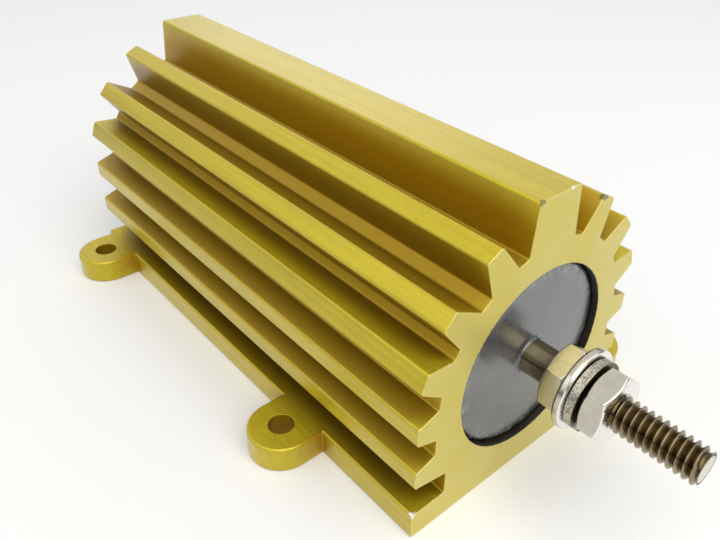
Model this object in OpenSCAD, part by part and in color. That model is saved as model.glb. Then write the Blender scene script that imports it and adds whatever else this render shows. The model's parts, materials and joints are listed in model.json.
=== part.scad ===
// Aluminium housed power resistor: a wirewound element in a finned, chassis-mounted
// extrusion, with a threaded stud terminal at each end.
//
// The origin is at the middle of the mounting face. X runs along the studs and Z points
// up, out of the mounting face. Lengths are in millimetres and angles in degrees.

/* [Housing] */
// Length of the extruded housing, along the studs
body_l = 114.3; // [100:0.1:130]
// Height of the top bar above the mounting face
body_h = 55.5; // [53:0.1:60]
// Width of the base flange between the ears
flange_w = 54.4; // [50:0.1:60]
// Thickness of the base flange and its ears
flange_t = 5.5; // [4:0.1:6.5]
// Width of the neck between the flange and the lower fins
neck_w = 39.8; // [37:0.1:43]
// Height of the bore's axis above the mounting face
axis_z = 24; // [23:0.1:25]
// Diameter of the bore that holds the element
bore_d = 35.2; // [33:0.1:36.5]
// Wall between the bore and the roots of the fins
barrel_wall = 5.2; // [4.5:0.1:6]
// Radius on the edges and in the slots of the extrusion
edge_r = 0.5; // [0.2:0.1:0.7]

/* [Fins] */
// Thickness of a fin at its tip
fin_tip_t = 3.5; // [2.5:0.1:4.5]
// Thickness of a fin at its root
fin_root_t = 6.3; // [5:0.1:6.6]
// Distance from the middle plane to the tips of the level fins
level_fin_reach = 26.9; // [25.5:0.1:29]
// Height of the bore's axis above the upper level fin
level_fin_drop = 1; // [0.4:0.05:1.4]
// Distance between the two level fins
level_fin_pitch = 9.6; // [9:0.1:10.5]
// Angle of the lower radial fin above the level
lower_fin_angle = 19.7; // [19.5:0.1:20.5]
// Angle of the middle radial fin above the level
middle_fin_angle = 40.2; // [38.5:0.1:42]
// Angle of the upper radial fin above the level
upper_fin_angle = 62.3; // [60:0.1:63]
// Distance from the bore's axis to the tip of the lower radial fin
lower_fin_reach = 27.8; // [26:0.1:30]
// Distance from the bore's axis to the tip of the middle radial fin
middle_fin_reach = 28.7; // [26:0.1:31]
// Distance from the bore's axis to the tip of the upper radial fin
upper_fin_reach = 29.5; // [26:0.1:32]
// Width of the top bar's flat top
bar_top_w = 9.8; // [7:0.1:12]
// Width of the top bar at its root
bar_root_w = 11.2; // [9:0.1:13]

/* [Mounting ears] */
// Width of an ear, rounded at its end
ear_w = 12.7; // [10:0.1:14]
// Diameter of the screw hole in an ear
ear_hole_d = 4.8; // [3.5:0.1:6]
// Distance between the two rows of holes, across the housing
ear_rows = 63.6; // [60:0.1:70]
// Distance between the two holes on one side
ear_pitch = 76.2; // [60:0.1:80]
// Distance from the end of the housing to the nearest hole
ear_inset = 7.95; // [7.1:0.05:12]

/* [Resistance element] */
// Outside diameter of the ceramic core
core_d = 23; // [18:0.1:24.5]
// Diameter of the hole through the core
core_hole_d = 9; // [6:0.1:12]
// Diameter of the resistance wire
wire_d = 1.2; // [0.8:0.1:1.6]
// Distance from one turn of the wire to the next
wire_pitch = 3.2; // [2.6:0.1:5]
// Thickness of the end caps' skirts
cap_skirt_t = 1.2; // [0.8:0.1:2]
// Length of the end caps' skirts over the core
cap_skirt_l = 7; // [4:0.1:12]
// Thickness of the end caps' plates
cap_plate_t = 2; // [1:0.1:3]
// Clearance between pieces that slip into each other
slip = 0.05; // [0.02:0.01:0.1]

/* [End seals] */
// Depth of the seal's face below the end of the housing
seal_recess = 1.2; // [0.5:0.1:2.5]
// Thickness of the seal
seal_t = 5.7; // [4:0.1:8]

/* [Terminal studs] */
// Diameter of the stud's shank and thread
stud_d = 6.2; // [5:0.1:7]
// Distance from one thread crest to the next
thread_pitch = 1.27; // [0.8:0.01:1.5]
// Length of plain shank outside the housing
shank_l = 4.9; // [3:0.1:6]
// Distance from the end of the housing to the tip of the stud
stud_out = 31.15; // [27:0.05:40]
// Length of the chamfer on the stud's tip
stud_tip_l = 0.8; // [0.3:0.1:1.2]
// Diameter of the stud's head, inside the seal
stud_head_d = 13; // [9:0.1:18]
// Thickness of the stud's head
stud_head_t = 2.2; // [1.5:0.1:4]
// Diameter of the stud's spigot in the end cap
spigot_d = 5; // [3:0.1:5.8]

/* [Terminal hardware] */
// Length of thread that shows behind the inner nut
thread_showing = 0.1; // [0.1:0.1:3]
// Width of the nuts across their flats
nut_af = 10.9; // [9.5:0.1:13]
// Thickness of the nuts
nut_t = 4.1; // [3:0.1:5]
// Angle of the inner nut's corners
inner_nut_turn = 21; // [0:1:59]
// Angle of the outer nut's corners
outer_nut_turn = 19; // [0:1:59]
// Outside diameter of the flat washer
flat_washer_d = 14.6; // [12:0.1:18]
// How much wider the flat washer's hole is than the stud
flat_washer_play = 0.8; // [0.2:0.1:1.5]
// Thickness of the flat washer
flat_washer_t = 1.5; // [0.8:0.1:2]
// Outside diameter of the lock washer
lock_washer_d = 12.4; // [11:0.1:14]
// How much wider the lock washer's hole is than the stud
lock_washer_play = 0.6; // [0.2:0.1:1.5]
// Thickness of the lock washer's wire
lock_washer_t = 1.57; // [1:0.01:2]
// How far the lock washer's two ends still stand apart along the stud
lock_washer_spring = 0.5; // [0.1:0.05:1]
// Angle that the lock washer's split takes up
lock_washer_split = 14; // [8:1:25]
// Angle of the lock washer's split
lock_washer_turn = 222; // [0:1:359]

/* [Hidden] */

// Colours
gold = "darkkhaki";
ceramic = "linen";
wire_metal = "rosybrown";
cement = "dimgray";
cap_metal = "silver";
stud_metal = "tan";
seal_grey = "gray";
nickel = "gainsboro";

// Smoothness of the round shapes, and chords in each rounded corner
fine = 96;
small = 48;
corner_steps = 3;
// Cuts run this far past the faces that they open
past = 1;

// The barrel round the bore, where the fins have their roots
barrel_r = bore_d / 2 + barrel_wall;
body_end = body_l / 2;

// Stations along each half of the axis, from the outside in
seal_face = body_end - seal_recess;
seal_back = seal_face - seal_t;
head_back = seal_back - stud_head_t;
core_end = head_back - cap_plate_t;
skirt_end = core_end - cap_skirt_l;

// The element, from the core outwards
cap_r = core_d / 2 + slip + cap_skirt_t;
wire_steps = 20;
wire_sides = 6;
wire_track = (core_d / 2 + slip) / cos(180 / wire_steps) + wire_d / 2;
wire_run = 2 * (skirt_end - slip) - wire_d;
wire_rings = floor(wire_run / wire_pitch * wire_steps);
sleeve_hole_r = max(cap_r, wire_track + wire_d / 2) + slip;
sleeve_r = bore_d / 2 - slip;

// Stations of the terminal hardware along the stud
inner_nut_x = body_end + shank_l + thread_showing;
flat_washer_x = inner_nut_x + nut_t;
lock_washer_x = flat_washer_x + flat_washer_t;
outer_nut_x = lock_washer_x + lock_washer_t + lock_washer_spring;
free_end_x = outer_nut_x + nut_t;
stud_tip = body_end + stud_out;

// Threads in mesh meet at the pitch diameter, 3/8 of the thread's full depth in from the
// crests on each side
thread_depth = thread_pitch * sqrt(3) / 2;
mesh_r = stud_d / 2 - thread_depth * 3 / 8;
nut_corner_r = nut_af / 2 / cos(30);
// The chamfer leaves a round face, this share of the width across the flats
nut_face_r = nut_af / 2 * 0.95;
nut_chamfer = (nut_corner_r - nut_face_r) * tan(30);
nut_countersink = thread_depth * 5 / 8;
washer_round = flat_washer_t * 0.3;

// ---- Helpers ----

function unit(v) = v / norm(v);

function turned(v, a) = [v[0] * cos(a) - v[1] * sin(a), v[0] * sin(a) + v[1] * cos(a)];

// An outline with each corner of the polygon "pts" rounded to radius r. The arc takes at
// most 45% of the shorter side beside it.
function rounded(pts, r) = [
    for (i = [0 : len(pts) - 1])
        let (
            here = pts[i],
            back = pts[(i + len(pts) - 1) % len(pts)] - here,
            ahead = pts[(i + 1) % len(pts)] - here,
            half = acos(unit(back) * unit(ahead)) / 2,
            reach = min(r / tan(half), 0.45 * norm(back), 0.45 * norm(ahead)),
            centre = here + unit(unit(back) + unit(ahead)) * reach / cos(half),
            start = here + unit(back) * reach - centre,
            sweep = sign(cross(-back, ahead)) * (180 - 2 * half)
        )
        for (k = [0 : corner_steps])
            centre + turned(start, sweep * k / corner_steps)
];

// A point of the housing's section, at a distance along and across a ray from the bore's axis
function on_ray(angle, along, across) = [0, axis_z] + turned([along, across], angle);

// Half-width of the barrel: round above the bore's axis and upright below it
function barrel_x(z) = z < axis_z ? barrel_r : sqrt(pow(barrel_r, 2) - pow(z - axis_z, 2));

// Places what is drawn along +Z, from the middle of the housing outwards, at the "front"
// end, which is the +X end, or at the "rear" end
module at_end(end) {
    rotate([0, 0, end == "rear" ? 180 : 0])
        translate([0, 0, axis_z])
            rotate([0, 90, 0])
                children();
}

// Turns a piece of terminal hardware so that its angle counts from +Y towards +Z
module clocked(angle) {
    rotate([0, 0, angle + 90])
        children();
}

module along_axis(from, to, d) {
    translate([0, 0, from])
        cylinder(h = to - from, d = d, $fn = fine);
}

// ---- Housing ----

// One level fin, from its lower root to its upper root
function level_fin(z, lower_root_x) = [
    [lower_root_x, z - fin_root_t / 2],
    [level_fin_reach, z - fin_tip_t / 2],
    [level_fin_reach, z + fin_tip_t / 2],
    [barrel_x(z + fin_root_t / 2), z + fin_root_t / 2]
];

// One radial fin, from its lower root to its upper root. Its roots lie on the barrel.
function radial_fin(angle, reach) =
    let (root = sqrt(pow(barrel_r, 2) - pow(fin_root_t / 2, 2)))
    [
        on_ray(angle, root, -fin_root_t / 2),
        on_ray(angle, reach, -fin_tip_t / 2),
        on_ray(angle, reach, fin_tip_t / 2),
        on_ray(angle, root, fin_root_t / 2)
    ];

upper_level_z = axis_z - level_fin_drop;
lower_level_z = upper_level_z - level_fin_pitch;
bar_root_z = axis_z + sqrt(pow(barrel_r, 2) - pow(bar_root_w / 2, 2));

half_section = concat(
    [[flange_w / 2, 0], [flange_w / 2, flange_t], [neck_w / 2, flange_t]],
    level_fin(lower_level_z, neck_w / 2),
    level_fin(upper_level_z, barrel_r),
    radial_fin(lower_fin_angle, lower_fin_reach),
    radial_fin(middle_fin_angle, middle_fin_reach),
    radial_fin(upper_fin_angle, upper_fin_reach),
    [[bar_root_w / 2, bar_root_z], [bar_top_w / 2, body_h]]
);

function mirrored(pts) = [for (i = [len(pts) - 1 : -1 : 0]) [-pts[i][0], pts[i][1]]];

module extrusion() {
    rotate([90, 0, 90])
        translate([0, 0, -body_end])
            linear_extrude(height = body_l)
                polygon(rounded(concat(half_section, mirrored(half_section)), edge_r));
}

// An ear round its own hole, reaching back along -Y into the flange
module ear() {
    section = rounded([[-ear_w / 2, 0], [ear_w / 2, 0], [ear_w / 2, flange_t], [-ear_w / 2, flange_t]], edge_r);
    reach = ear_rows / 2 - neck_w / 2;
    rotate_extrude($fn = small)
        intersection() {
            polygon(section);
            square([ear_w, flange_t]);
        }
    rotate([90, 0, 0])
        linear_extrude(height = reach)
            polygon(section);
}

// The ears are staggered: turning the housing half round brings each pair onto the other
module at_ears() {
    for (turn = [0, 180], x = [body_end - ear_inset, body_end - ear_inset - ear_pitch])
        rotate([0, 0, turn])
            translate([x, ear_rows / 2, 0])
                children();
}

module housing() {
    color(gold)
        difference() {
            union() {
                extrusion();
                at_ears()
                    ear();
            }
            at_end("front")
                along_axis(-body_end - past, body_end + past, bore_d);
            at_ears()
                translate([0, 0, -past])
                    cylinder(h = flange_t + 2 * past, d = ear_hole_d, $fn = small);
        }
}

// ---- Resistance element ----

module ceramic_core() {
    color(ceramic)
        at_end("front")
            difference() {
                along_axis(-core_end, core_end, core_d);
                along_axis(-core_end - past, core_end + past, core_hole_d);
            }
}

// Corners of the wire's section at ring n of the helix
function wire_ring(n) = [
    for (k = [0 : wire_sides - 1])
        let (
            a = 360 * n / wire_steps,
            s = 360 * k / wire_sides,
            r = wire_track + wire_d / 2 * cos(s),
            z = -wire_run / 2 + wire_pitch * n / wire_steps + wire_d / 2 * sin(s)
        )
        [r * cos(a), r * sin(a), z]
];

// The wire is wound from one end cap to the other
module resistance_winding() {
    points = [for (n = [0 : wire_rings]) each wire_ring(n)];
    sides = [
        for (n = [0 : wire_rings - 1], k = [0 : wire_sides - 1])
            let (
                a = n * wire_sides + k,
                b = n * wire_sides + (k + 1) % wire_sides
            )
            [a, b, b + wire_sides, a + wire_sides]
    ];
    first_end = [for (k = [wire_sides - 1 : -1 : 0]) k];
    last_end = [for (k = [0 : wire_sides - 1]) wire_rings * wire_sides + k];
    color(wire_metal)
        at_end("front")
            polyhedron(points = points, faces = concat([first_end], sides, [last_end]), convexity = 20);
}

module moulded_insulation() {
    color(cement)
        at_end("front")
            difference() {
                along_axis(-seal_back, seal_back, 2 * sleeve_r);
                along_axis(-seal_back - past, seal_back + past, 2 * sleeve_hole_r);
            }
}

// ---- Terminals, drawn along +Z from the middle of the housing ----

module end_cap(end) {
    color(cap_metal)
        at_end(end)
            difference() {
                along_axis(skirt_end, head_back, 2 * cap_r);
                along_axis(skirt_end - past, core_end, core_d + 2 * slip);
                along_axis(core_end - past, head_back + past, spigot_d + 2 * slip);
            }
}

// Spigot, head, plain shank, the stretch in mesh with the nuts, and the free end
module terminal_stud(end) {
    color(stud_metal)
        at_end(end) {
            along_axis(core_end, head_back + past, spigot_d);
            along_axis(head_back, seal_back, stud_head_d);
            along_axis(seal_back, body_end + shank_l, stud_d);
            along_axis(body_end + shank_l, free_end_x, 2 * mesh_r);
            along_axis(free_end_x, stud_tip - stud_tip_l, stud_d);
            translate([0, 0, stud_tip - stud_tip_l])
                cylinder(h = stud_tip_l, r1 = stud_d / 2, r2 = mesh_r, $fn = fine);
        }
}

module end_seal(end) {
    color(seal_grey)
        at_end(end)
            difference() {
                along_axis(seal_back, seal_face, bore_d - 2 * slip);
                along_axis(seal_back - past, seal_face + past, stud_d + 2 * slip);
            }
}

// A nut whose corners are chamfered on both faces
module nut(end, x, clock) {
    color(nickel)
        at_end(end)
            translate([0, 0, x])
                clocked(clock)
                    difference() {
                        intersection() {
                            cylinder(h = nut_t, r = nut_corner_r, $fn = 6);
                            rotate_extrude($fn = fine)
                                polygon([
                                    [0, 0],
                                    [nut_face_r, 0],
                                    [nut_corner_r, nut_chamfer],
                                    [nut_corner_r, nut_t - nut_chamfer],
                                    [nut_face_r, nut_t],
                                    [0, nut_t]
                                ]);
                        }
                        along_axis(-past, nut_t + past, 2 * (mesh_r + slip));
                        nut_mouth();
                        translate([0, 0, nut_t])
                            mirror([0, 0, 1])
                                nut_mouth();
                    }
}

// Countersink at the mouth of a nut's thread
module nut_mouth() {
    mouth_r = mesh_r + slip + nut_countersink;
    translate([0, 0, -past])
        cylinder(h = past + nut_countersink, r1 = mouth_r + past, r2 = mesh_r + slip, $fn = fine);
}

module flat_washer(end) {
    inner = (stud_d + flat_washer_play) / 2;
    outer = flat_washer_d / 2;
    section = [[inner, 0], [outer, 0], [outer, flat_washer_t], [inner, flat_washer_t]];
    color(nickel)
        at_end(end)
            translate([0, 0, flat_washer_x])
                rotate_extrude($fn = fine)
                    polygon(rounded(section, washer_round));
}

// A split ring whose ends stand apart along the stud, wound against the thread's hand
module lock_washer(end) {
    steps = 48;
    sweep = 360 - lock_washer_split;
    inner = (stud_d + lock_washer_play) / 2;
    outer = lock_washer_d / 2;
    points = [
        for (n = [0 : steps])
            let (
                a = lock_washer_split / 2 + sweep * n / steps,
                z = lock_washer_spring * (1 - n / steps)
            )
            each [
                [inner * cos(a), inner * sin(a), z],
                [outer * cos(a), outer * sin(a), z],
                [outer * cos(a), outer * sin(a), z + lock_washer_t],
                [inner * cos(a), inner * sin(a), z + lock_washer_t]
            ]
    ];
    sides = [
        for (n = [0 : steps - 1], k = [0 : 3])
            let (
                a = 4 * n + k,
                b = 4 * n + (k + 1) % 4
            )
            [a, b, b + 4, a + 4]
    ];
    color(nickel)
        at_end(end)
            translate([0, 0, lock_washer_x])
                clocked(lock_washer_turn)
                    polyhedron(
                        points = points,
                        faces = concat([[3, 2, 1, 0]], sides, [[for (k = [0 : 3]) 4 * steps + k]]),
                        convexity = 4
                    );
}

// ---- The nodes ----

housing();
ceramic_core();
resistance_winding();
moulded_insulation();

end_cap("front");  // front_end_cap
terminal_stud("front");  // front_terminal_stud
end_seal("front");  // front_end_seal
nut("front", inner_nut_x, inner_nut_turn);  // front_inner_nut
flat_washer("front");  // front_flat_washer
lock_washer("front");  // front_lock_washer
nut("front", outer_nut_x, outer_nut_turn);  // front_outer_nut

end_cap("rear");  // rear_end_cap
terminal_stud("rear");  // rear_terminal_stud
end_seal("rear");  // rear_end_seal
nut("rear", inner_nut_x, inner_nut_turn);  // rear_inner_nut
flat_washer("rear");  // rear_flat_washer
lock_washer("rear");  // rear_lock_washer
nut("rear", outer_nut_x, outer_nut_turn);  // rear_outer_nut
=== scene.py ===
# %% [markdown]
# # An aluminium housed power resistor
#
# A wirewound resistor of this kind lives inside a finned aluminium extrusion that is
# screwed flat to a chassis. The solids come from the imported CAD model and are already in
# their places, in metres, with +X along the terminal studs and +Z up. This script gives
# them their finish: anodised aluminium, a grey moulded seal, and nickel-plated hardware.

# %% Load the frame
import json
import math

import bmesh
import bpy
from mathutils import Matrix, Vector


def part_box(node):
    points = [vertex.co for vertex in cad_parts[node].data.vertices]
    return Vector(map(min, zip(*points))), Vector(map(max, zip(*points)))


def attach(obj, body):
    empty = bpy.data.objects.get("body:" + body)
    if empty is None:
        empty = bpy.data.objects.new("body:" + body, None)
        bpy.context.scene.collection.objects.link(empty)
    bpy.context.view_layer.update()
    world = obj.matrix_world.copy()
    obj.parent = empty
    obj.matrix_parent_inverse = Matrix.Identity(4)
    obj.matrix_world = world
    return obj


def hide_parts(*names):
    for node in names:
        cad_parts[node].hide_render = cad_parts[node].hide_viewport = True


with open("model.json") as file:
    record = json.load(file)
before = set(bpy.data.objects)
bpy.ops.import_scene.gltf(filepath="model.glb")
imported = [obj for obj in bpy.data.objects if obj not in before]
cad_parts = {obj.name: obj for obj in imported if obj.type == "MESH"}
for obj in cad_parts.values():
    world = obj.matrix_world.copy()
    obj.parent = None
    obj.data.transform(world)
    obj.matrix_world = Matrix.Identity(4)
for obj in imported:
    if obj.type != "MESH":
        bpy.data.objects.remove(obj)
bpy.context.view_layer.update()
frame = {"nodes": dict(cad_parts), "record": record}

MM = 0.001

# %% [markdown]
# ## Sizes that the looks need
#
# Materials have to know where the bore is, where the sawn ends are and how thick the stud
# is. All of that is read from the CAD nodes' boxes, so nothing is typed twice.

# %% Measure the CAD nodes
housing_low, housing_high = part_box("housing")
seal_low, seal_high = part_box("front_end_seal")
stud_low, stud_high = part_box("front_terminal_stud")
BODY_END = housing_high.x
BORE_AXIS = Vector((0, 0, (seal_low.z + seal_high.z) / 2))
BORE_RADIUS = (seal_high.z - seal_low.z) / 2
print("bore radius %.2f mm, axis %.2f mm up" % (BORE_RADIUS / MM, BORE_AXIS.z / MM))


def radius_near(node, x, reach=0.3 * MM):
    """The largest distance from the bore's axis to the node's points within reach of x."""
    found = [
        math.hypot(v.co.y, v.co.z - BORE_AXIS.z)
        for v in frame["nodes"][node].data.vertices
        if abs(v.co.x - x) <= reach
    ]
    return max(found)


# %% [markdown]
# ## Small helpers for shader nodes
#
# A procedural material is a graph of small nodes. A few helpers keep each graph readable:
# put() adds a node and fills its inputs with values or links, and math_node(), remap() and
# mixed() are short forms for the nodes that come up most.

# %% Shader node helpers
def put(tree, kind, values=None, **settings):
    """Adds a shader node. values maps an input's name or number to a value or an output."""
    node = tree.nodes.new("ShaderNode" + kind)
    for name, setting in settings.items():
        setattr(node, name, setting)
    for key, value in (values or {}).items():
        socket = node.inputs[key]
        if isinstance(value, bpy.types.NodeSocket):
            tree.links.new(value, socket)
        else:
            socket.default_value = value
    return node


def math_node(tree, operation, a, b=0.0, clamp=False):
    return put(tree, "Math", {0: a, 1: b}, operation=operation, use_clamp=clamp).outputs[0]


def remap(tree, value, low, high, to_low=0.0, to_high=1.0):
    """Maps value from low..high to to_low..to_high, and holds it at the ends."""
    ends = {"From Min": low, "From Max": high, "To Min": to_low, "To Max": to_high}
    return put(tree, "MapRange", {"Value": value, **ends}).outputs[0]


def mixed(tree, factor, a, b):
    """Mixes two colours, given as four numbers or as an output."""
    return put(tree, "Mix", {0: factor, 6: a, 7: b}, data_type="RGBA").outputs[2]


def new_material(name):
    """An empty material with an output and a Principled shader, ready for its inputs."""
    material = bpy.data.materials.new(name)
    material.use_nodes = True
    material.node_tree.nodes.clear()
    tree = material.node_tree
    output = put(tree, "OutputMaterial")
    shader = put(tree, "BsdfPrincipled")
    tree.links.new(shader.outputs[0], output.inputs[0])
    return material, tree, shader


def feed(tree, shader, **inputs):
    """Fills the shader's inputs. An underscore in a name stands for a space."""
    for name, value in inputs.items():
        socket = shader.inputs[name.replace("_", " ")]
        if isinstance(value, bpy.types.NodeSocket):
            tree.links.new(value, socket)
        else:
            socket.default_value = value


print("helpers: put, math_node, remap, mixed, new_material, feed")

# %% [markdown]
# ## Effects that several finishes share
#
# Each shared effect is a node group: it is built once, and each material places it with
# its own values. A group only puts out masks and values. The shader stays in the material.

# %% Node group helper
def new_group(name, inputs, outputs):
    """An empty group with the given sockets, as (name, kind, default) and (name, kind)."""
    tree = bpy.data.node_groups.new(name, "ShaderNodeTree")
    for label, kind, default in inputs:
        socket = tree.interface.new_socket(label, in_out="INPUT", socket_type="NodeSocket" + kind)
        if default is not None:
            socket.default_value = default
    for label, kind in outputs:
        tree.interface.new_socket(label, in_out="OUTPUT", socket_type="NodeSocket" + kind)
    inside = tree.nodes.new("NodeGroupInput").outputs
    outside = tree.nodes.new("NodeGroupOutput").inputs
    return tree, inside, outside


def place_group(tree, group, values):
    """Places a node group in a material, with its own values."""
    return put(tree, "Group", values, node_tree=group).outputs


print("helpers: new_group, place_group")

# %% [markdown]
# ### Grain
#
# Etched and anodised aluminium isn't smooth at arm's length: it has a fine grain of bright
# and dull grains, and a broader cloudiness. Two noises at different scales give both. The
# scales are per metre, because object coordinates are metres here.

# %% The grain group
grain_group, inside, outside = new_group(
    "surface_grain",
    [("Vector", "Vector", None), ("Fine Scale", "Float", 5000.0), ("Cloud Scale", "Float", 400.0)],
    [("Fine", "Float"), ("Cloud", "Float")],
)
fine = put(
    grain_group,
    "TexNoise",
    {"Vector": inside["Vector"], "Scale": inside["Fine Scale"], "Detail": 2.0},
)
cloud = put(
    grain_group,
    "TexNoise",
    {"Vector": inside["Vector"], "Scale": inside["Cloud Scale"], "Detail": 4.0},
)
grain_group.links.new(remap(grain_group, fine.outputs[0], 0.3, 0.7), outside["Fine"])
grain_group.links.new(remap(grain_group, cloud.outputs[0], 0.35, 0.65), outside["Cloud"])
print("group surface_grain:", len(grain_group.nodes), "nodes")

# %% [markdown]
# ### Edge wear
#
# Outside corners lose their finish first. A Bevel node bends the normal near an edge, so
# where the bent normal and the true one differ, there is an edge. Noise breaks the line up
# into chips. The Amount input says how much of the edge is worn.

# %% The edge wear group
wear_group, inside, outside = new_group(
    "edge_wear",
    [
        ("Vector", "Vector", None),
        ("Radius", "Float", 0.3 * MM),
        ("Chip Scale", "Float", 900.0),
        ("Amount", "Float", 0.3),
    ],
    [("Edge", "Float"), ("Chips", "Float")],
)
bent = put(wear_group, "Bevel", {"Radius": inside["Radius"]}, samples=4)
true_normal = put(wear_group, "NewGeometry")
agreement = put(
    wear_group,
    "VectorMath",
    {0: bent.outputs[0], 1: true_normal.outputs["Normal"]},
    operation="DOT_PRODUCT",
)
edge = remap(wear_group, agreement.outputs["Value"], 0.995, 0.85)
chip_noise = put(
    wear_group,
    "TexNoise",
    {"Vector": inside["Vector"], "Scale": inside["Chip Scale"], "Detail": 3.0},
)
threshold = math_node(wear_group, "SUBTRACT", 0.85, inside["Amount"])
patchy = math_node(wear_group, "SUBTRACT", chip_noise.outputs[0], threshold)
sharp = math_node(wear_group, "MULTIPLY", patchy, 14.0, clamp=True)
wear_group.links.new(edge, outside["Edge"])
wear_group.links.new(math_node(wear_group, "MULTIPLY", sharp, edge), outside["Chips"])
print("group edge_wear:", len(wear_group.nodes), "nodes")

# %% [markdown]
# ### Specks
#
# Handling leaves small bright nicks and dust. A Voronoi texture scatters one point per
# cell, and only the cells with a high random value show a speck, so the specks are sparse.

# %% The specks group
speck_group, inside, outside = new_group(
    "specks",
    [
        ("Vector", "Vector", None),
        ("Scale", "Float", 500.0),
        ("Size", "Float", 0.12),
        ("Share", "Float", 0.1),
    ],
    [("Specks", "Float")],
)
cells = put(speck_group, "TexVoronoi", {"Vector": inside["Vector"], "Scale": inside["Scale"]})
near_point = math_node(speck_group, "LESS_THAN", cells.outputs["Distance"], inside["Size"])
channels = put(speck_group, "SeparateColor", {0: cells.outputs["Color"]})
chosen = math_node(speck_group, "LESS_THAN", channels.outputs[0], inside["Share"])
speck_group.links.new(math_node(speck_group, "MULTIPLY", near_point, chosen), outside["Specks"])
print("group specks:", len(speck_group.nodes), "nodes")

# %% [markdown]
# ### Marks at one place
#
# A knock or a smudge sits at one place, not all over. This group gives a ragged blot round
# a point: the distance to the point, pushed in and out by noise, against a reach.

# %% The blot group
blot_group, inside, outside = new_group(
    "blot",
    [
        ("Vector", "Vector", None),
        ("Middle", "Vector", None),
        ("Reach", "Float", MM),
        ("Scale", "Float", 1500.0),
    ],
    [("Blot", "Float")],
)
ends = {0: inside["Vector"], 1: inside["Middle"]}
gap = put(blot_group, "VectorMath", ends, operation="DISTANCE")
rough_edge = put(
    blot_group, "TexNoise", {"Vector": inside["Vector"], "Scale": inside["Scale"], "Detail": 4.0}
)
in_and_out = remap(blot_group, rough_edge.outputs[0], 0.3, 0.7, -0.7, 0.7)
push = math_node(blot_group, "MULTIPLY", inside["Reach"], in_and_out)
pushed = math_node(blot_group, "ADD", gap.outputs["Value"], push)
share = math_node(blot_group, "DIVIDE", pushed, inside["Reach"])
blot_group.links.new(remap(blot_group, share, 1.0, 0.75), outside["Blot"])
print("group blot:", len(blot_group.nodes), "nodes")


def blots(tree, where, marks):
    """One mask of several blots. marks is a list of (middle, reach)."""
    mask = 0.0
    for middle, reach in marks:
        values = {"Vector": where, "Middle": middle, "Reach": reach}
        mask = math_node(tree, "MAXIMUM", place_group(tree, blot_group, values)["Blot"], mask)
    return mask


# %% [markdown]
# ### Distance from the bore's axis
#
# Several finishes change with the distance from the line through the studs: the sawn end
# round the bore, the resin near its rim, and the thread's crests and roots.

# %% The distance group
axis_group, inside, outside = new_group(
    "distance_from_bore_axis",
    [("Vector", "Vector", None), ("Axis Height", "Float", 0.02)],
    [("Distance", "Float")],
)
split = put(axis_group, "SeparateXYZ", {0: inside["Vector"]}).outputs
above = math_node(axis_group, "SUBTRACT", split[2], inside["Axis Height"])
across = put(axis_group, "CombineXYZ", {0: 0.0, 1: split[1], 2: above}).outputs[0]
length = put(axis_group, "VectorMath", {0: across}, operation="LENGTH").outputs["Value"]
axis_group.links.new(length, outside["Distance"])
print("group distance_from_bore_axis:", len(axis_group.nodes), "nodes")


def distance_from_axis(tree, where):
    """The distance of each point from the line through the studs, in metres."""
    values = {"Vector": where, "Axis Height": BORE_AXIS.z}
    return place_group(tree, axis_group, values)["Distance"]


# %% [markdown]
# ## The gold anodised finish
#
# The housing is one extrusion, etched, dyed gold and sealed. The metal under the dye still
# reflects, so the gold is partly Metallic: light that bounces several times between the
# fins passes the dye several times and turns a deep brown. The slots' brown and dark are
# also painted into the colour, as shade. Over it lies a clear coat of a low IOR for the
# sealed film. Seen straight on it hardly shows, but at a glancing angle it turns a face
# pale, such as the top of the bar.
#
# The finish also shows fine lines along X from the extrusion die, paler and rougher ends
# where the bar was sawn to length, and bright nicks where the film has worn.

# %% Colours and shine of the gold
GOLD = (0.575, 0.456, 0.009, 1.0)
DEEP_GOLD = (0.535, 0.415, 0.007, 1.0)
SAWN_GOLD = (0.62, 0.53, 0.13, 1.0)
# Painted shade: the brown and the near-black that are painted into the slots
SLOT_SHADE_BROWN = (0.417, 0.254, 0.007, 1.0)
SLOT_SHADE_DARK = (0.10, 0.07, 0.004, 1.0)
DARK_GRAIN = (0.36, 0.26, 0.02, 1.0)
BRIGHT_GRAIN_AND_HIGHLIGHT = (0.86, 0.76, 0.26, 1.0)
BARE_METAL = (0.86, 0.84, 0.78, 1.0)
WORN_PINK = (0.80, 0.70, 0.60, 1.0)
SOOT_AND_SHADE = (0.028, 0.022, 0.016, 1.0)
GOLD_ROUGH = 0.41
GOLD_METAL = 0.58
COAT_IOR = 1.29

gold, tree, shader = new_material("gold_anodised_aluminium")
where = put(tree, "TexCoord").outputs["Object"]
facing = put(tree, "NewGeometry").outputs["True Normal"]
axes = put(tree, "SeparateXYZ", {0: facing}).outputs
point = put(tree, "SeparateXYZ", {0: where}).outputs
from_middle = math_node(tree, "ABSOLUTE", point[0])
print("started", gold.name)

# %% [markdown]
# ### Grain, wear and the die's lines
#
# The shared groups give the etched grain, the worn edges and stray nicks. The die's lines
# are a noise whose coordinates are squeezed along X, so that it hardly changes that way.

# %% Grain, wear and lines
grain = place_group(
    tree, grain_group, {"Vector": where, "Fine Scale": 4600.0, "Cloud Scale": 240.0}
)
wear = place_group(tree, wear_group, {"Vector": where, "Radius": 0.3 * MM, "Amount": 0.24})
specks = place_group(
    tree, speck_group, {"Vector": where, "Scale": 260.0, "Size": 0.05, "Share": 0.10}
)
along = put(tree, "Mapping", {"Vector": where, "Scale": (0.02, 1.0, 1.0)}).outputs[0]
lines = put(tree, "TexNoise", {"Vector": along, "Scale": 1500.0, "Detail": 3.0}).outputs[0]
line_height = remap(tree, lines, 0.35, 0.65)
print("grain, wear and lines:", len(tree.nodes), "nodes so far")
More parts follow.
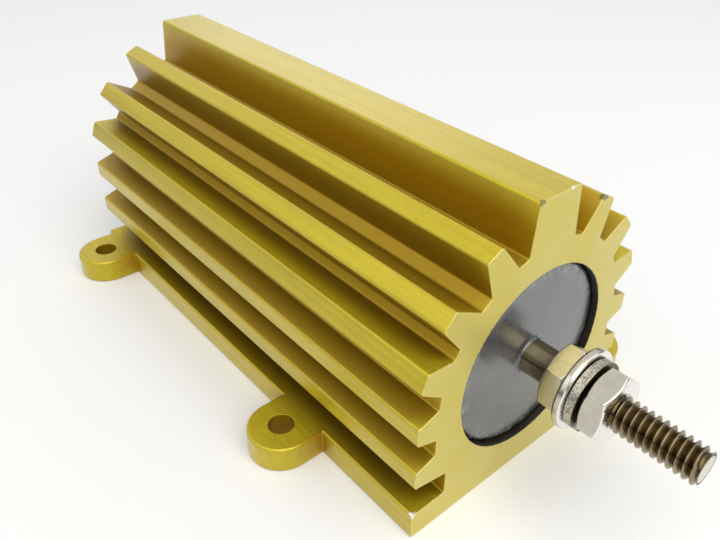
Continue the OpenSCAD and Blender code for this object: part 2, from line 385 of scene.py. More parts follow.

# %% [markdown]
# ### The sawn ends and the bore
#
# A sawn end faces along X and lies at one of the housing's two ends; the walls of the ears
# face along X too, so the normal alone isn't enough. The cutter that trued the ends left
# faint arcs of a large radius. The bore's wall is painted near-black as the shade inside
# it, and scorched film and old resin fray the dark over its mouth.

# %% Masks for the ends and the bore
ARC_CENTRE = (0.0, 0.11, -0.09)
FRAY = 0.25 * MM

end_facing = math_node(tree, "GREATER_THAN", math_node(tree, "ABSOLUTE", axes[0]), 0.9)
far_out = math_node(tree, "GREATER_THAN", from_middle, BODY_END - 0.3 * MM)
end_on = math_node(tree, "MULTIPLY", end_facing, far_out)
off_end = math_node(tree, "SUBTRACT", 1.0, end_on)

from_arc = put(tree, "VectorMath", {0: where, 1: ARC_CENTRE}, operation="DISTANCE")
arcs = put(
    tree,
    "TexNoise",
    {"W": from_arc.outputs["Value"], "Scale": 3500.0, "Detail": 3.0},
    noise_dimensions="1D",
).outputs[0]

from_axis = distance_from_axis(tree, where)
crumbs = put(tree, "TexNoise", {"Vector": where, "Scale": 2400.0, "Detail": 5.0}).outputs[0]
ragged = math_node(tree, "ADD", from_axis, remap(tree, crumbs, 0.3, 0.7, -FRAY, FRAY))
frayed = remap(tree, ragged, BORE_RADIUS + 0.16 * MM, BORE_RADIUS - 0.02 * MM)
wall = math_node(tree, "LESS_THAN", from_axis, BORE_RADIUS + 0.12 * MM)
# Painted shade: the bore's wall is painted near-black, with a few flecks left
painted_wall_shade = math_node(tree, "MULTIPLY", wall, remap(tree, crumbs, 0.72, 0.66, 0.75, 0.99))
bore_soot_and_shade = math_node(tree, "MAXIMUM", frayed, painted_wall_shade)
print("ends and bore:", len(tree.nodes), "nodes so far")

# %% [markdown]
# ### Gold in the open, painted shade in the slots
#
# Ambient Occlusion says how much of the sky a point sees, and the colour is painted browner
# as that falls, as the shade in the slots. A face that looks straight up keeps its gold
# longer than a steep one, and is painted darkest in its corners. The undersides are painted
# dark all over, as their shade.

# %% The dye, and the painted shade in the slots
cloudy = math_node(tree, "MULTIPLY", grain["Cloud"], 0.6)
body_colour = mixed(tree, cloudy, GOLD, DEEP_GOLD)
lined = math_node(tree, "MULTIPLY", line_height, 0.35)
body_colour = mixed(tree, lined, body_colour, DARK_GRAIN)
broad_cloud = put(tree, "TexNoise", {"Vector": where, "Scale": 70.0, "Detail": 2.0}).outputs[0]
end_colour = mixed(tree, remap(tree, broad_cloud, 0.4, 0.65, 0.0, 0.5), SAWN_GOLD, GOLD)
end_colour = mixed(tree, math_node(tree, "MULTIPLY", cloudy, 0.25), end_colour, GOLD)
colour = mixed(tree, end_on, body_colour, end_colour)

# Each etched grain is a little brighter or duller than the next, but not in the slots
colour = mixed(tree, remap(tree, grain["Fine"], 0.0, 0.5, 0.20, 0.0), colour, DARK_GRAIN)
colour = mixed(tree, remap(tree, grain["Fine"], 0.6, 1.0, 0.0, 0.16), colour, BRIGHT_GRAIN_AND_HIGHLIGHT)

occlusion = put(
    tree, "AmbientOcclusion", {"Distance": 14 * MM}, samples=8, only_local=True
)
open_sky = occlusion.outputs["AO"]
gold_down_to = remap(tree, axes[2], 0.96, 0.995, 0.85, 0.58)
brown_from = math_node(tree, "SUBTRACT", gold_down_to, 0.13)
browned = remap(tree, open_sky, gold_down_to, brown_from)
painted_corner_shade = math_node(
    tree, "MULTIPLY", remap(tree, open_sky, 0.52, 0.32), remap(tree, axes[2], 0.5, 0.9)
)
painted_deep_shade = math_node(tree, "MULTIPLY", painted_corner_shade, 0.85)
underside_shade_share = remap(tree, axes[2], -0.05, -0.35, 0.0, 0.55)
upward_shade_share = remap(tree, axes[2], 0.8, 0.93, 0.0, 0.35)
for share in (underside_shade_share, upward_shade_share):
    painted_deep_shade = math_node(tree, "MAXIMUM", painted_deep_shade, math_node(tree, "MULTIPLY", browned, share))
# Painted shade: the slots are painted brown, and their corners and undersides near-black
colour = mixed(tree, math_node(tree, "MULTIPLY", browned, off_end), colour, SLOT_SHADE_BROWN)
colour = mixed(tree, math_node(tree, "MULTIPLY", painted_deep_shade, off_end), colour, SLOT_SHADE_DARK)
print("dye:", len(tree.nodes), "nodes so far")

# %% [markdown]
# ### Knocks and smudges
#
# Corners that stick out get knocked, and fingers leave smudges where they hold the part.
# Both are found on the housing's front outline, so they stay put if a size changes.

# %% Where the housing has been knocked and smudged
outline = [v.co for v in frame["nodes"]["housing"].data.vertices if v.co.x > BODY_END - 0.01 * MM]
FLANGE_HALF = max(abs(p.y) for p in outline if p.z < 1 * MM)
FLANGE_TOP = max(p.z for p in outline if p.y < 1 * MM - FLANGE_HALF and p.z < 10 * MM)
bar_corner = max((p for p in outline if p.y < 0), key=lambda p: p.z - 0.1 * p.y)
upper_fin_tip = max((p for p in outline if p.y > 10 * MM), key=lambda p: p.z)
base_corner = Vector((BODY_END, -FLANGE_HALF, FLANGE_TOP))
bar_edge = Vector((BODY_END, -0.6 * bar_corner.y, bar_corner.z))

# Each mark is a place and its reach
KNOCKS = [(base_corner, 0.8 * MM), (bar_edge, 0.3 * MM)]
SMUDGES = [(bar_corner, 0.55 * MM), (upper_fin_tip, 0.9 * MM)]
for kind, marks in (("knocks", KNOCKS), ("smudges", SMUDGES)):
    print(kind, "at", [[round(v / MM, 1) for v in place] for place, reach in marks])

# %% [markdown]
# ### Painted highlights on the arrises, worn edges, nicks, soot and shade
#
# The arris of each sawn end is painted bright, as a highlight along the edge, and on the
# bar's top it's worn to pinkish bare metal. Nicks and knocks show bright metal, and soot,
# smudges and the painted shade on the bore's wall go over everything.

# %% Painted highlights, wear, soot and shade on the gold
by_the_end = remap(tree, from_middle, BODY_END - 0.5 * MM, BODY_END - 0.2 * MM)
arris = math_node(tree, "MULTIPLY", wear["Edge"], by_the_end)
# Painted highlight: a bright line along the arris of each sawn end
colour = mixed(tree, math_node(tree, "MULTIPLY", arris, 0.7), colour, BRIGHT_GRAIN_AND_HIGHLIGHT)
bar_top = remap(tree, point[2], housing_high.z - 0.4 * MM, housing_high.z - 0.2 * MM)
patchy_top = math_node(tree, "MULTIPLY", bar_top, grain["Cloud"])
colour = mixed(tree, math_node(tree, "MULTIPLY", arris, patchy_top), colour, WORN_PINK)
nicks = math_node(tree, "MAXIMUM", wear["Chips"], specks["Specks"])
nicks = math_node(tree, "MAXIMUM", nicks, blots(tree, where, KNOCKS))
colour = mixed(tree, nicks, colour, BARE_METAL)
smudged = math_node(tree, "MULTIPLY", blots(tree, where, SMUDGES), 0.65)
# Real soot and smudges, and the painted shade on the bore's wall, are mixed in here
colour = mixed(tree, math_node(tree, "MAXIMUM", bore_soot_and_shade, smudged), colour, SOOT_AND_SHADE)
print("wear and soot:", len(tree.nodes), "nodes so far")

# %% [markdown]
# ### Shine and relief
#
# The relief is about 0.02 mm deep: the grain, with the die's lines on the sides and the
# cutter's arcs on the ends. The clear coat is weaker down in the slots.

# %% Shine and relief of the gold
roughness = remap(tree, grain["Fine"], 0.0, 1.0, GOLD_ROUGH - 0.06, GOLD_ROUGH + 0.06)
roughness = math_node(tree, "ADD", roughness, math_node(tree, "MULTIPLY", end_on, 0.08))
line_or_arc = put(tree, "Mix", {0: end_on, 2: line_height, 3: arcs}, data_type="FLOAT").outputs[0]
heights = math_node(tree, "ADD", grain["Fine"], math_node(tree, "MULTIPLY", line_or_arc, 0.6))
relief = {"Strength": 0.35, "Distance": 0.02 * MM, "Height": heights}
bump = put(tree, "Bump", relief).outputs[0]
coat = remap(tree, open_sky, 0.55, 0.9, 0.25, 1.0)
feed(tree, shader, Base_Color=colour, Metallic=GOLD_METAL, Roughness=roughness, Normal=bump)
feed(tree, shader, Coat_Weight=coat, Coat_Roughness=0.3, Coat_IOR=COAT_IOR)
feed(tree, shader, Specular_IOR_Level=0.25)
print("material", gold.name, "has", len(tree.nodes), "nodes")

# %% [markdown]
# ## Rounding a solid's sharp edges
#
# No real edge is perfectly sharp, and a thin line of light along each one is what makes
# metal look solid. softened() copies a CAD node's mesh, joins its triangles into flat
# faces, bevels only the edges that turn sharply, and stands the copy in for the node. The
# bevel only takes material away, so the copy stays inside the solid.

# %% softened()
def bevel_edges(bm, edges, width, segments):
    bmesh.ops.bevel(
        bm,
        geom=edges,
        offset=width,
        segments=segments,
        profile=0.5,
        affect="EDGES",
        clamp_overlap=False,
    )


def softened(node, width, sharp=math.radians(34), broad=None):
    """A copy of the CAD node with its sharp edges rounded to about width.

    broad is a test that picks the edges to round first, and how widely.
    """
    bm = bmesh.new()
    bm.from_mesh(frame["nodes"][node].data)
    bmesh.ops.remove_doubles(bm, verts=bm.verts, dist=0.002 * MM)
    bmesh.ops.dissolve_limit(
        bm,
        angle_limit=math.radians(0.5),
        verts=bm.verts,
        edges=bm.edges,
        use_dissolve_boundaries=False,
    )
    if broad:
        wide, chosen = broad
        edges = [e for e in bm.edges if chosen(e) and e.calc_face_angle(0) > sharp]
        bevel_edges(bm, edges, wide, 4)
        print(node, "has", len(edges), "broadly rounded edges")
    edges = [e for e in bm.edges if len(e.link_faces) == 2 and e.calc_face_angle(0) > sharp]
    bevel_edges(bm, edges, width, 2)
    for face in bm.faces:
        face.smooth = True
    mesh = bpy.data.meshes.new(node + "_finish")
    bm.to_mesh(mesh)
    bm.free()
    mesh.set_sharp_from_angle(angle=math.radians(35))
    piece = bpy.data.objects.new(node + "_finish", mesh)
    bpy.context.scene.collection.objects.link(piece)
    weighted = piece.modifiers.new("flat_faces_stay_flat", "WEIGHTED_NORMAL")
    weighted.keep_sharp = True
    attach(piece, "root")
    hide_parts(node)
    return piece


def finish(piece, material):
    """Gives a piece its one material."""
    piece.data.materials.clear()
    piece.data.materials.append(material)


print("helpers: softened, finish")

# %% [markdown]
# ## The housing
#
# The fins, the top bar and the ears are all one piece of metal, so they're one mesh. The
# sawn ends, the bore's mouth and the ears' corners are rounded a little, and the ears' top
# rims a lot more. The ears' middles come from the record's screw holes.

# %% Housing
ear_middles = []
for mount in frame["record"]["mounts"]:
    if mount["kind"] == "bolt_pattern":
        x, y, z = mount["pos_m"]
        half = mount["dims"]["spacing_x_mm"] / 2 * MM
        ear_middles += [Vector((x - half, y)), Vector((x + half, y))]
print("ears at", [(round(p.x / MM, 1), round(p.y / MM, 1)) for p in ear_middles])


def ear_rim(edge):
    """True for the outer top edge of an ear. The screw hole's edge is nearer its middle."""
    ends = [v.co for v in edge.verts]
    level = all(abs(p.z - FLANGE_TOP) < 0.01 * MM for p in ends)
    past_flange = max(abs(p.y) for p in ends) > FLANGE_HALF + 0.01 * MM
    gap = min((middle - p.xy).length for middle in ear_middles for p in ends)
    return level and past_flange and gap > 4 * MM and len(edge.link_faces) == 2


housing = softened("housing", 0.12 * MM, broad=(0.9 * MM, ear_rim))
finish(housing, gold)
print("housing:", len(housing.data.polygons), "faces")

# %% [markdown]
# ## The end seals
#
# A filled resin disc closes each end of the bore, a little below the sawn face. The resin
# is nearly black, and looks grey because its glossy skin reflects the bright surroundings:
# where the stud blocks them, the dark resin shows. So the base colour is dark and the
# shine comes from the shader. Pale flecks and scuffs of filler gather towards the rim.

# %% Seal resin
RESIN_RIM_SHADE = (0.012, 0.012, 0.014, 1.0)
RESIN = (0.034, 0.036, 0.039, 1.0)
PALE_RESIN = (0.078, 0.081, 0.085, 1.0)
FLECK = (0.62, 0.62, 0.60, 1.0)

resin, tree, shader = new_material("grey_sealing_resin")
where = put(tree, "TexCoord").outputs["Object"]
from_axis = distance_from_axis(tree, where)
grain = place_group(
    tree, grain_group, {"Vector": where, "Fine Scale": 2600.0, "Cloud Scale": 130.0}
)
flecks = place_group(
    tree, speck_group, {"Vector": where, "Scale": 900.0, "Size": 0.2, "Share": 0.09}
)
near_rim = remap(tree, from_axis, BORE_RADIUS - 3.2 * MM, BORE_RADIUS - 0.6 * MM)
scuff_noise = put(
    tree, "TexNoise", {"Vector": where, "Scale": 420.0, "Detail": 6.0, "Roughness": 0.75}
).outputs[0]
scuffs = math_node(tree, "MULTIPLY", near_rim, remap(tree, scuff_noise, 0.50, 0.64))
colour = mixed(tree, grain["Cloud"], RESIN, PALE_RESIN)
# Painted shade: the resin is painted darker towards its rim, next to the bore's wall
painted_rim_shade = remap(tree, from_axis, BORE_RADIUS - 2.0 * MM, BORE_RADIUS - 0.9 * MM)
colour = mixed(tree, math_node(tree, "MULTIPLY", painted_rim_shade, 0.75), colour, RESIN_RIM_SHADE)
colour = mixed(tree, math_node(tree, "MULTIPLY", flecks["Specks"], 0.9), colour, FLECK)
colour = mixed(tree, math_node(tree, "MULTIPLY", scuffs, 0.45), colour, FLECK)
roughness = remap(tree, grain["Cloud"], 0.0, 1.0, 0.24, 0.34)
roughness = math_node(tree, "ADD", roughness, math_node(tree, "MULTIPLY", scuffs, 0.3))
heights = math_node(tree, "ADD", grain["Fine"], math_node(tree, "MULTIPLY", scuffs, 2.0))
bump = put(tree, "Bump", {"Strength": 0.25, "Distance": 0.02 * MM, "Height": heights}).outputs[0]
feed(tree, shader, Base_Color=colour, Roughness=roughness, Normal=bump, IOR=1.65)
feed(tree, shader, Coat_Weight=0.8, Coat_Roughness=0.2, Coat_IOR=1.6)
print("material", resin.name, "has", len(tree.nodes), "nodes")

# %% [markdown]
# The resin was poured, so its outer edge is round, and it wets the stud: a small hollow
# cone of it climbs the shank.

# %% Seals
COLLAR_REACH = 0.7 * MM
COLLAR_HEIGHT = 0.6 * MM
COLLAR_STEPS = 4
COLLAR_SIDES = 48

shank_radius = radius_near("front_terminal_stud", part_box("front_inner_nut")[0].x - 0.1 * MM)


def outer_rim(edge):
    """True for the seal's outer edge. The edge of the stud's hole is nearer the axis."""
    return all(
        math.hypot(v.co.y, v.co.z - BORE_AXIS.z) > BORE_RADIUS / 2 for v in edge.verts
    )


def add_collar(mesh, side):
    """Adds the cone of resin. side is 1 at the front end and -1 at the rear."""
    bm = bmesh.new()
    bm.from_mesh(mesh)
    rings = []
    for step in range(COLLAR_STEPS + 1):
        share = step / COLLAR_STEPS
        x = side * (seal_high.x - 0.03 * MM + COLLAR_HEIGHT * share)
        top = shank_radius + 0.02 * MM
        radius = top + (shank_radius + COLLAR_REACH - top) * (1 - share) ** 2
        ring = []
        for j in range(COLLAR_SIDES):
            angle = 2 * math.pi * j / COLLAR_SIDES
            y, z = radius * math.cos(angle), BORE_AXIS.z + radius * math.sin(angle)
            ring.append(bm.verts.new((x, y, z)))
        rings.append(ring)
    for low, high in zip(rings, rings[1:]):
        for j in range(COLLAR_SIDES):
            k = (j + 1) % COLLAR_SIDES
            corners = (low[j], low[k], high[k], high[j])
            face = bm.faces.new(corners if side > 0 else corners[::-1])
            face.smooth = True
    bm.to_mesh(mesh)
    bm.free()


for end, side in (("front", 1), ("rear", -1)):
    seal = softened(end + "_end_seal", 0.05 * MM, broad=(0.9 * MM, outer_rim))
    add_collar(seal.data, side)
    finish(seal, resin)
    print(seal.name, len(seal.data.polygons), "faces")

# %% [markdown]
# ## Nickel plate
#
# The nuts and washers are plated steel. The plate is bright, but its surface is slightly
# wavy from the barrel, so its reflections wander. The lock washer is duller and its pits
# are dark, and its two faces are painted dark as the shade in the gaps beside it.

# %% Plated steel
NICKEL = (0.56, 0.535, 0.47, 1.0)
TARNISH = (0.40, 0.36, 0.28, 1.0)
TURNED = (0.84, 0.82, 0.78, 1.0)
PIT_AND_GAP_SHADE = (0.10, 0.085, 0.05, 1.0)


def plated(name, shine, pits, end_face_colour=TURNED, mottle=0.0):
    """Nickel plate. shine is its roughness and pits is the strength of its texture.

    end_face_colour is the colour of the faces along X, and mottle is how dark the pits are.
    """
    material, tree, shader = new_material(name)
    where = put(tree, "TexCoord").outputs["Object"]
    grain = place_group(
        tree, grain_group, {"Vector": where, "Fine Scale": 3500.0, "Cloud Scale": 420.0}
    )
    wear = place_group(tree, wear_group, {"Vector": where, "Radius": 0.2 * MM, "Amount": 0.4})
    stained = math_node(tree, "MULTIPLY", grain["Cloud"], 0.35)
    colour = mixed(tree, stained, NICKEL, TARNISH)
    # The turned ends and their bevelled corners face along X, and are brighter than the flats; the
    # lock washer's faces along X are painted dark instead, as shade
    axes = put(tree, "SeparateXYZ", {0: put(tree, "NewGeometry").outputs["True Normal"]}).outputs
    x_facing = remap(tree, math_node(tree, "ABSOLUTE", axes[0]), 0.3, 0.45)
    colour = mixed(tree, x_facing, colour, end_face_colour)
    pitted = remap(tree, grain["Fine"], 0.55, 0.25, 0.0, mottle)
    colour = mixed(tree, pitted, colour, PIT_AND_GAP_SHADE)
    colour = mixed(tree, math_node(tree, "MULTIPLY", wear["Edge"], 0.5), colour, BARE_METAL)
    roughness = remap(tree, grain["Fine"], 0.0, 1.0, shine, shine + 0.12)
    relief = {"Strength": pits, "Distance": 0.03 * MM, "Height": grain["Fine"]}
    bump = put(tree, "Bump", relief).outputs[0]
    feed(tree, shader, Base_Color=colour, Metallic=1.0, Roughness=roughness, Normal=bump)
    return material


bright_plate = plated("bright_nickel_plate", 0.16, 0.05)
# Painted shade: the lock washer's faces along X take the pits' dark, as the shade in the gaps
# beside it
pitted_plate = plated("pitted_nickel_plate", 0.28, 0.5, end_face_colour=PIT_AND_GAP_SHADE, mottle=0.75)
print("materials", bright_plate.name, "and", pitted_plate.name)

# %% Nuts and washers
for end in ("front", "rear"):
    for part in ("inner_nut", "outer_nut"):
        finish(softened(end + "_" + part, 0.15 * MM), bright_plate)
    finish(softened(end + "_lock_washer", 0.12 * MM), pitted_plate)
    finish(frame["nodes"][end + "_flat_washer"], bright_plate)
print("nuts and washers finished at both ends")

# %% [markdown]
# ## The terminal studs
#
# A thread is a helix, and its crest has to be a clean line that climbs one pitch in each
# turn. So the mesh follows the helix too: each turn of the thread is a few rows of points
# (root, flank, crest, crest, flank), and each row climbs as it goes round. Points beyond
# the ends of the thread are held at the ends, and a cone trims the first and last turns.

# %% Stud geometry
PITCH = 1.27 * MM
# Each row of a turn: how far along the pitch it lies, and how deep below the crest
THREAD_ROWS = [(0.0, 1.0), (0.07, 0.93), (0.44, 0.03), (0.5, 0.0), (0.56, 0.03), (0.93, 0.93)]
THREAD_DEPTH = 0.61 * PITCH
ROUND = 72


def along_x(x, radius, angle):
    return (x, radius * math.cos(angle), BORE_AXIS.z + radius * math.sin(angle))


def add_ring(bm, x, radius):
    return [bm.verts.new(along_x(x, radius, 2 * math.pi * j / ROUND)) for j in range(ROUND)]


def bridge(bm, ring, following):
    for j in range(ROUND):
        k = (j + 1) % ROUND
        bm.faces.new((ring[j], ring[k], following[k], following[j]))


def thread_surface(bm, start, end, limit):
    """The threaded stretch, from start to end. limit(x) is the largest radius there."""
    turns = int((end - start) / PITCH) + 2
    rows = []
    for turn in range(-1, turns):
        for share, depth in THREAD_ROWS:
            row = []
            for j in range(ROUND + 1):
                x = start + PITCH * (turn + share + j / ROUND)
                x = min(max(x, start), end)
                radius = min(crest_radius - depth * THREAD_DEPTH, limit(x))
                row.append(bm.verts.new(along_x(x, radius, 2 * math.pi * j / ROUND)))
            rows.append(row)
    for row, following in zip(rows, rows[1:]):
        for j in range(ROUND):
            bm.faces.new((row[j], row[j + 1], following[j + 1], following[j]))


print("each turn has", len(THREAD_ROWS), "rows of", ROUND, "points")

# %% [markdown]
# The stud's stations come from the CAD solids: where its head, shank and thread begin and
# end. Inside the nuts the thread is cut back to the radius of the nuts' own bores.

# %% Build both studs
seal_back = seal_low.x
shank_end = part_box("front_inner_nut")[0].x - 0.1 * MM
tip = stud_high.x
crest_radius = shank_radius
tip_radius = radius_near("front_terminal_stud", tip, 0.01 * MM)
head_radius = radius_near("front_terminal_stud", seal_back)
nut_spans = [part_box("front_" + part) for part in ("inner_nut", "outer_nut")]
print("crest radius %.2f mm, thread %.2f mm long" % (crest_radius / MM, (tip - shank_end) / MM))


def thread_limit(x):
    """The largest radius of the thread at x: cut back in the nuts and at the tip."""
    limit = min(crest_radius, tip_radius + 1.6 * (tip - x))
    for low, high in nut_spans:
        if low.x <= x <= high.x:
            limit = min(limit, crest_radius - 0.45 * MM)
    return limit


def stud_mesh(name):
    """The whole stud, drawn for the front end."""
    bm = bmesh.new()
    spigot = frame["nodes"]["front_terminal_stud"].data.vertices
    thin = radius_near("front_terminal_stud", stud_low.x)
    head_back = min(
        v.co.x for v in spigot if math.hypot(v.co.y, v.co.z - BORE_AXIS.z) > thin * 1.5
    )
    profile = [
        (stud_low.x, thin),
        (head_back, thin),
        (head_back, head_radius),
        (seal_back, head_radius),
        (seal_back, crest_radius),
        (shank_end - 0.25 * MM, crest_radius),
        (shank_end, crest_radius - 0.25 * MM),
        (shank_end, crest_radius - THREAD_DEPTH),
    ]
    rings = [add_ring(bm, x, radius) for x, radius in profile]
    for ring, following in zip(rings, rings[1:]):
        bridge(bm, ring, following)
    bm.faces.new(list(reversed(rings[0])))
    thread_surface(bm, shank_end, tip, thread_limit)
    cap = add_ring(bm, tip, tip_radius - 0.1 * MM)
    bm.faces.new(cap)
    bmesh.ops.remove_doubles(bm, verts=bm.verts, dist=0.003 * MM)
    bmesh.ops.recalc_face_normals(bm, faces=bm.faces)
    for face in bm.faces:
        face.smooth = True
    mesh = bpy.data.meshes.new(name)
    bm.to_mesh(mesh)
    bm.free()
    mesh.set_sharp_from_angle(angle=math.radians(38))
    return mesh


# %% [markdown]
# The studs are plated too, but the plate has browned with heat. The thread's roots are
# painted dark, as the shade in its grooves, so its crests stand out. Distance from the axis
# tells the two apart, so one material serves the plain shank and the thread.

# %% Stud metal
THREAD_ROOT_SHADE = (0.10, 0.065, 0.028, 1.0)
BRONZED = (0.22, 0.175, 0.10, 1.0)
RUBBED = (0.34, 0.285, 0.18, 1.0)
FACED_END = (0.64, 0.60, 0.50, 1.0)

browned, tree, shader = new_material("browned_nickel_plate")
where = put(tree, "TexCoord").outputs["Object"]
from_axis = distance_from_axis(tree, where)
crest = remap(tree, from_axis, crest_radius - 0.62 * MM, crest_radius - 0.2 * MM)
along_stud = put(tree, "SeparateXYZ", {0: where}).outputs[0]
chamfer = remap(tree, math_node(tree, "ABSOLUTE", along_stud), tip - 0.9 * MM, tip - 0.5 * MM)
crest = math_node(tree, "MAXIMUM", crest, chamfer)
grain = place_group(
    tree, grain_group, {"Vector": where, "Fine Scale": 3000.0, "Cloud Scale": 260.0}
)
axes = put(tree, "SeparateXYZ", {0: put(tree, "NewGeometry").outputs["True Normal"]}).outputs
end_on = math_node(tree, "GREATER_THAN", math_node(tree, "ABSOLUTE", axes[0]), 0.97)
along = put(tree, "Mapping", {"Vector": where, "Scale": (0.05, 1.0, 1.0)}).outputs[0]
drawn = put(tree, "TexNoise", {"Vector": along, "Scale": 1800.0, "Detail": 2.0}).outputs[0]
metal = mixed(tree, grain["Cloud"], BRONZED, RUBBED)
# Painted shade: the thread's roots are painted dark
colour = mixed(tree, crest, THREAD_ROOT_SHADE, metal)
faced = math_node(tree, "MULTIPLY", end_on, chamfer)
colour = mixed(tree, faced, colour, FACED_END)
roughness = remap(tree, drawn, 0.3, 0.7, 0.15, 0.27)
heights = math_node(tree, "ADD", drawn, math_node(tree, "MULTIPLY", grain["Fine"], 0.2))
bump = put(tree, "Bump", {"Strength": 0.12, "Distance": 0.02 * MM, "Height": heights}).outputs[0]
feed(tree, shader, Base_Color=colour, Metallic=1.0, Roughness=roughness, Normal=bump)
print("material", browned.name, "has", len(tree.nodes), "nodes")

# %% Studs
for end, turn in (("front", 0), ("rear", 180)):
    mesh = stud_mesh(end + "_stud_thread")
    mesh.transform(Matrix.Rotation(math.radians(turn), 4, "Z"))
    stud = bpy.data.objects.new(end + "_stud_thread", mesh)
    bpy.context.scene.collection.objects.link(stud)
    finish(stud, browned)
    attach(stud, "root")
    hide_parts(end + "_terminal_stud")
    print(stud.name, len(mesh.polygons), "faces")

# %% [markdown]
# ## The hidden pieces
#
# The core, the winding, the end caps and the moulded sleeve can't be seen in the finished
# part, but they have finishes of their own for anyone who takes it apart.

# %% Finishes of the inner pieces
def inner_finish(name, dark, pale, dull, metallic, fine_scale, stretch=(1.0, 1.0, 1.0)):
    """A two-tone finish with a grain, which stretch can draw out. dull is its roughness."""
    material, tree, shader = new_material(name)
    where = put(tree, "TexCoord").outputs["Object"]
    where = put(tree, "Mapping", {"Vector": where, "Scale": stretch}).outputs[0]
    grain = place_group(
        tree, grain_group, {"Vector": where, "Fine Scale": fine_scale, "Cloud Scale": 250.0}
    )
    colour = mixed(tree, grain["Cloud"], dark, pale)
    roughness = remap(tree, grain["Fine"], 0.0, 1.0, *dull)
    relief = {"Strength": 0.3, "Distance": 0.03 * MM, "Height": grain["Fine"]}
    bump = put(tree, "Bump", relief).outputs[0]
    feed(tree, shader, Base_Color=colour, Metallic=metallic, Roughness=roughness, Normal=bump)
    return material


ceramic = inner_finish(
    "white_ceramic", (0.62, 0.58, 0.50, 1), (0.76, 0.73, 0.66, 1), (0.5, 0.7), 0.0, 4000.0
)
wire = inner_finish(
    "resistance_wire",
    (0.30, 0.27, 0.24, 1),
    (0.48, 0.45, 0.41, 1),
    (0.25, 0.4),
    1.0,
    6000.0,
    (1.0, 0.2, 0.2),
)
cement = inner_finish(
    "cement_moulding", (0.10, 0.105, 0.10, 1), (0.17, 0.175, 0.17, 1), (0.7, 0.9), 0.0, 3000.0
)
cap_metal = inner_finish(
    "drawn_cap_metal",
    (0.52, 0.51, 0.48, 1),
    (0.66, 0.65, 0.62, 1),
    (0.25, 0.4),
    1.0,
    5000.0,
    (0.1, 1.0, 1.0),
)
finish(frame["nodes"]["ceramic_core"], ceramic)
finish(frame["nodes"]["resistance_winding"], wire)
finish(frame["nodes"]["moulded_insulation"], cement)
for end in ("front", "rear"):
    finish(frame["nodes"][end + "_end_cap"], cap_metal)
print("inner finishes:", [m.name for m in (ceramic, wire, cement, cap_metal)])

# %% [markdown]
# ## The stage
#
# The part stands on a pale floor in soft light. Polished metal shows its surroundings, so
# the floor and the world are white to the camera and to reflections, and the lamps stay at
# a plain level.

# %% Floor
PAPER = (0.93, 0.93, 0.925, 1.0)
PAPER_TOOTH = (0.85, 0.85, 0.85, 1.0)
FLOOR_SIZE = 6.0

paper, tree, shader = new_material("pale_paper")
tooth = put(tree, "TexNoise", {"Scale": 900.0, "Detail": 2.0}).outputs[0]
colour = mixed(tree, math_node(tree, "MULTIPLY", tooth, 0.05), PAPER, PAPER_TOOTH)
feed(tree, shader, Base_Color=colour, Roughness=0.9)

bpy.ops.mesh.primitive_plane_add(size=FLOOR_SIZE, location=(0, 0, -0.02 * MM))
floor = bpy.context.object
floor.name = "floor"
floor.data.materials.append(paper)
print("floor:", FLOOR_SIZE, "m square")

# %% World
AMBIENT = 0.535

world = bpy.data.worlds.new("soft_studio")
bpy.context.scene.world = world
world.use_nodes = True
tree = world.node_tree
tree.nodes.clear()
rays = put(tree, "LightPath").outputs
seen = math_node(tree, "MAXIMUM", rays["Is Camera Ray"], rays["Is Glossy Ray"])
seen = math_node(tree, "MAXIMUM", seen, rays["Is Transmission Ray"])
strength = remap(tree, seen, 0.0, 1.0, AMBIENT, 1.0)
background = put(tree, "Background", {"Color": (1, 1, 1, 1), "Strength": strength})
output = put(tree, "OutputWorld")
tree.links.new(background.outputs[0], output.inputs[0])
print("world:", AMBIENT, "for soft light, 1 for the camera and for reflections")

# %% [markdown]
# ### Lamps
#
# Three soft square lamps: a large one overhead and towards the front end, a small one low
# behind the part that glances along the bar's top, and one at the near side. Their places
# and sizes are in metres, and each is turned towards the part.

# %% Lamps
LAMPS = [
    # name, place, size, power in watts
    ("overhead_panel", (0.5, -0.14, 0.7), 1.0, 6.7),
    ("back_panel", (-0.55, 0.42, 0.36), 0.35, 0.26),
    ("side_panel", (-0.54, -0.85, 0.735), 0.6, 0.87),
]
LAMP_AIM = Vector((0, 0, 0.025))

for name, place, size, power in LAMPS:
    lamp = bpy.data.lights.new(name, "AREA")
    lamp.size = size
    lamp.energy = power
    obj = bpy.data.objects.new(name, lamp)
    obj.location = place
    obj.rotation_euler = (LAMP_AIM - Vector(place)).to_track_quat("-Z", "Y").to_euler()
    bpy.context.scene.collection.objects.link(obj)
    print(name, power, "W")

# %% [markdown]
# ### A dark card round the stage
#
# Bright plating in an all-white room looks like paper. A low dark ring gives the nuts, the
# thread and the seal something dark to reflect near the horizon. It casts no shadow and
# the camera doesn't see it.

# %% The card
CARD_SHADE = 0.077
CARD_HEIGHT = 0.26
CARD_RADIUS = 1.2

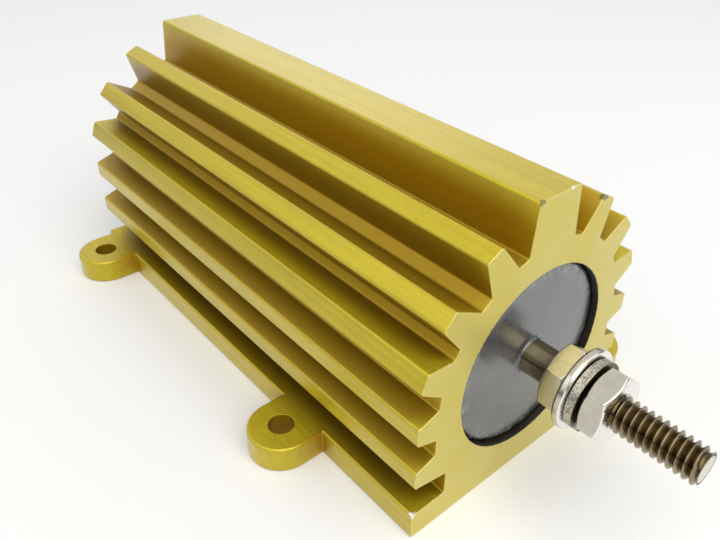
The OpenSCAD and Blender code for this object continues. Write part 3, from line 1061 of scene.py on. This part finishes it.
card_finish, tree, shader = new_material("card")
card_colour = (CARD_SHADE, CARD_SHADE, CARD_SHADE, 1.0)
feed(tree, shader, Base_Color=card_colour, Roughness=0.9)
bm = bmesh.new()
bmesh.ops.create_cone(
    bm, segments=64, radius1=CARD_RADIUS, radius2=CARD_RADIUS, depth=CARD_HEIGHT
)
flat_ends = [f for f in bm.faces if abs(f.normal.z) > 0.5]
bmesh.ops.delete(bm, geom=flat_ends, context="FACES")
card_mesh = bpy.data.meshes.new("card")
bm.to_mesh(card_mesh)
bm.free()
card_mesh.materials.append(card_finish)
card = bpy.data.objects.new("card", card_mesh)
card.location = (0, 0, CARD_HEIGHT / 2)
bpy.context.scene.collection.objects.link(card)
card.visible_camera = False
card.visible_diffuse = False
card.visible_shadow = False
print("card:", CARD_HEIGHT, "m high at", CARD_RADIUS, "m")

# %% [markdown]
# ## The camera
#
# The camera looks down on the front end from the right, close enough for the studs' end
# to be much larger than the far end.

# %% Camera
VIEW_AZIMUTH = math.radians(47.34)
VIEW_ELEVATION = math.radians(32.73)
VIEW_ROLL = math.radians(1.8)
VIEW_DISTANCE = 155.8 * MM
VIEW_AIM = Vector((12.92, 7.41, 21.03)) * MM

back = Vector((
    math.sin(VIEW_AZIMUTH) * math.cos(VIEW_ELEVATION),
    -math.cos(VIEW_AZIMUTH) * math.cos(VIEW_ELEVATION),
    math.sin(VIEW_ELEVATION),
))
lens = bpy.data.cameras.new("camera")
lens.sensor_width = 36.0
lens.lens = 36.35
lens.shift_x = -0.0448
lens.shift_y = -0.0319
lens.clip_start = 0.005
camera = bpy.data.objects.new("camera", lens)
level = back.to_track_quat("Z", "Y").to_matrix().to_4x4()
camera.matrix_world = (
    Matrix.Translation(VIEW_AIM + back * VIEW_DISTANCE) @ level @ Matrix.Rotation(VIEW_ROLL, 4, "Z")
)
bpy.context.scene.collection.objects.link(camera)
bpy.context.scene.camera = camera
bpy.context.scene.view_settings.view_transform = "Standard"
print("camera at", [round(v / MM, 1) for v in camera.matrix_world.translation], "mm")

# %% [markdown]
# ## Update the scene
#
# The view layer is updated once more, so that every piece stands in its place.

# %% Update the view layer
bpy.context.view_layer.update()
